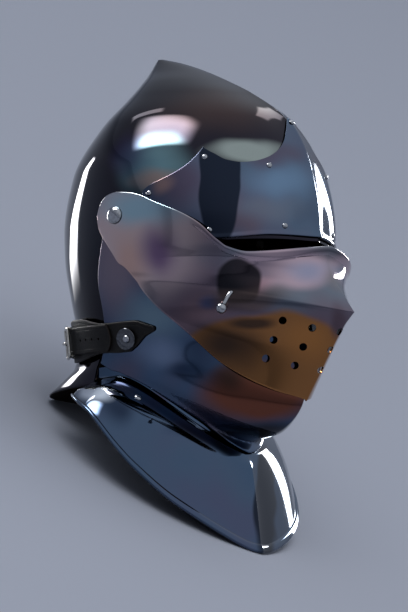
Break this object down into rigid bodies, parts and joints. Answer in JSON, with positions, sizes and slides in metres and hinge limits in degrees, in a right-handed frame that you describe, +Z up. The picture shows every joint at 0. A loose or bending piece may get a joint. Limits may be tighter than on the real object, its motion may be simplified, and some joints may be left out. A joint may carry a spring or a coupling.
{
  "type": "visored sallet helmet",
  "caption": "Steel sallet with a pointed skull, riveted brow plate, pierced pointed visor on side pivots, bevor, flared neck plate and a buckled strap.",
  "frame": {"origin": "centre of the bounding box at the surface that the helmet lies on", "axes": "+Z up from that surface, +X the way the face looks, tipped back by 36.4 degrees, +Y the wearer's left"},
  "size_m": [0.333, 0.2372, 0.3051],
  "materials": {
    "skull_steel": "mirror-polished dark blued steel",
    "brow_steel": "mirror-polished blued steel",
    "visor_steel": "mirror-polished steel with brown temper colours",
    "bevor_steel": "mirror-polished dark blued steel",
    "neck_steel": "mirror-polished blued steel",
    "bright_steel": "polished bare steel",
    "buckle_metal": "polished nickel-coloured metal",
    "strap_leather": "smooth black vegetable-tanned leather"
  },
  "bodies": {
    "helmet": {"skull": "skull_steel", "brow_plate": "brow_steel", "bevor": "bevor_steel", "neck_plate": "neck_steel", "strap_base": "strap_leather", "neck_strap": "strap_leather", "buckle_frame": "buckle_metal", "buckle_prong": "buckle_metal", "brow_rivet_cusp_right": "bright_steel", "brow_rivet_cusp_left": "bright_steel", "brow_rivet_upper_right": "bright_steel", "brow_rivet_upper_left": "bright_steel", "brow_rivet_rear_right": "bright_steel", "brow_rivet_rear_left": "bright_steel", "brow_rivet_lower_right": "bright_steel", "brow_rivet_lower_left": "bright_steel", "brow_rivet_front_right": "bright_steel", "brow_rivet_front_left": "bright_steel", "brow_rivet_top": "bright_steel", "neck_rivet_right": "bright_steel", "neck_rivet_left": "bright_steel", "strap_washer_right": "bright_steel", "strap_washer_left": "bright_steel", "strap_rivet_right": "bright_steel", "strap_rivet_left": "bright_steel", "pivot_rivet_right": "bright_steel", "pivot_rivet_left": "bright_steel"},
    "visor": {"visor": "visor_steel", "lifting_peg": "bright_steel"}
  },
  "joints": [
    {"name": "visor_pivot", "type": "hinge", "parent": "helmet", "child": "visor", "pos_m": [-0.05283, 0, 0.17774], "axis": [0, -1, 0], "range_deg": [0, 65]}
  ]
}
